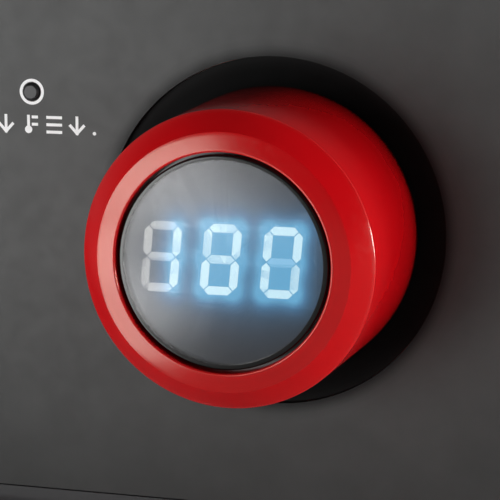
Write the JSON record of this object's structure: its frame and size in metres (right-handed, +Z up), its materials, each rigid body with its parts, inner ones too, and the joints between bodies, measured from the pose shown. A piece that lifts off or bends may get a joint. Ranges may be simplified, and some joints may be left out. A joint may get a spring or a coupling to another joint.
{
  "type": "filament dryer box",
  "caption": "Heated box that dries one spool of printer filament on rollers, with a hinged smoked lid and a round digital display pod on its front panel.",
  "frame": {"origin": "centre of the bounding box's footprint, at the table under the feet", "axes": "+Z up, the control panel and its display pod face -Y, +X to the right of somebody facing the panel"},
  "size_m": [0.2588, 0.177, 0.276],
  "materials": {
    "shell": "fine matt texture",
    "panel": "fine matt texture",
    "pod_red": "gloss",
    "rocker_red": "gloss",
    "dark_plastic": "satin",
    "lens_smoke": "clear, lightly smoked",
    "window_smoke": "clear, smoked",
    "segment_lit": "lit from behind",
    "segment_dark": "diffuser, unlit",
    "led_white": "satin",
    "board": "solder mask",
    "rubber": "matt",
    "silicone": "matt",
    "steel": "plain",
    "duct_steel": "folded sheet",
    "heater": "plain",
    "cable": "satin",
    "parts_mixed": "mixed electronic parts"
  },
  "bodies": {
    "base": {"base_shell": "shell", "base_cover": "dark_plastic", "cover_screws": "steel", "feet": "rubber", "drying_tub": "shell", "air_grille": "dark_plastic", "tub_screws": "steel", "roller_brackets": "dark_plastic", "roller_bearings": "steel", "bracket_screws": "steel", "humidity_sensor": "led_white", "heater_core": "heater", "heater_duct": "duct_steel", "fan_frame": "dark_plastic", "fan_screws": "steel", "front_panel": "panel", "panel_screws": "steel", "control_board": "board", "board_screws": "steel", "tact_switches": "dark_plastic", "rocker_frame": "dark_plastic", "pod_housing": "pod_red", "pod_gasket": "rubber", "pod_screws": "steel", "display_lens": "lens_smoke", "lens_spacer": "dark_plastic", "digit_mask": "segment_dark", "segments_lit": "segment_lit", "segments_dark": "segment_dark", "led_module": "led_white", "display_board": "board", "display_screws": "steel", "ribbon_cable": "cable", "power_board": "board", "power_parts": "parts_mixed", "power_inlet": "dark_plastic", "inlet_pins": "steel", "inlet_screws": "steel", "tub_gasket": "silicone", "base_magnets": "steel", "hinge_pins": "steel"},
    "lid": {"lid_frame": "shell", "lid_window": "window_smoke", "lid_sides": "window_smoke", "lid_panes": "window_smoke", "lid_magnets": "steel", "outlet_left": "dark_plastic", "outlet_right": "dark_plastic", "outlet_nuts": "dark_plastic"},
    "roller_left": {"roller_left_axle": "steel", "roller_left_drum": "shell", "roller_left_bands": "rubber"},
    "roller_right": {"roller_right_axle": "steel", "roller_right_drum": "shell", "roller_right_bands": "rubber"},
    "fan_rotor": {"fan_rotor": "dark_plastic"},
    "key_down": {"key_down": "dark_plastic"},
    "key_up": {"key_up": "dark_plastic"},
    "key_timer": {"key_timer": "dark_plastic"},
    "rocker": {"rocker": "rocker_red"}
  },
  "joints": [
    {"name": "lid_hinge", "type": "hinge", "parent": "base", "child": "lid", "pos_m": [0, 0.0795, 0.13], "axis": [-1, 0, 0], "range_deg": [0, 95]},
    {"name": "roller_left_spin", "type": "hinge", "parent": "base", "child": "roller_left", "pos_m": [-0.0545, 0.0245, 0.0716], "axis": [0, 1, 0], "continuous": true},
    {"name": "roller_right_spin", "type": "hinge", "parent": "base", "child": "roller_right", "pos_m": [0.0545, 0.0245, 0.0716], "axis": [0, 1, 0], "continuous": true},
    {"name": "fan_spin", "type": "hinge", "parent": "base", "child": "fan_rotor", "pos_m": [0, 0.0245, 0.017], "axis": [0, 0, 1], "continuous": true},
    {"name": "key_down_press", "type": "slide", "parent": "base", "child": "key_down", "axis": [0, 1, 0], "range_m": [0, 0.0008], "stiffness_N_per_m": 1000, "springref_m": -0.0008},
    {"name": "key_up_press", "type": "slide", "parent": "base", "child": "key_up", "axis": [0, 1, 0], "range_m": [0, 0.0008], "stiffness_N_per_m": 1000, "springref_m": -0.0008},
    {"name": "key_timer_press", "type": "slide", "parent": "base", "child": "key_timer", "axis": [0, 1, 0], "range_m": [0, 0.0008], "stiffness_N_per_m": 1000, "springref_m": -0.0008},
    {"name": "rocker_tip", "type": "hinge", "parent": "base", "child": "rocker", "pos_m": [-0.0775, -0.0473, 0.046], "axis": [-1, 0, 0], "range_deg": [0, 18]}
  ]
}
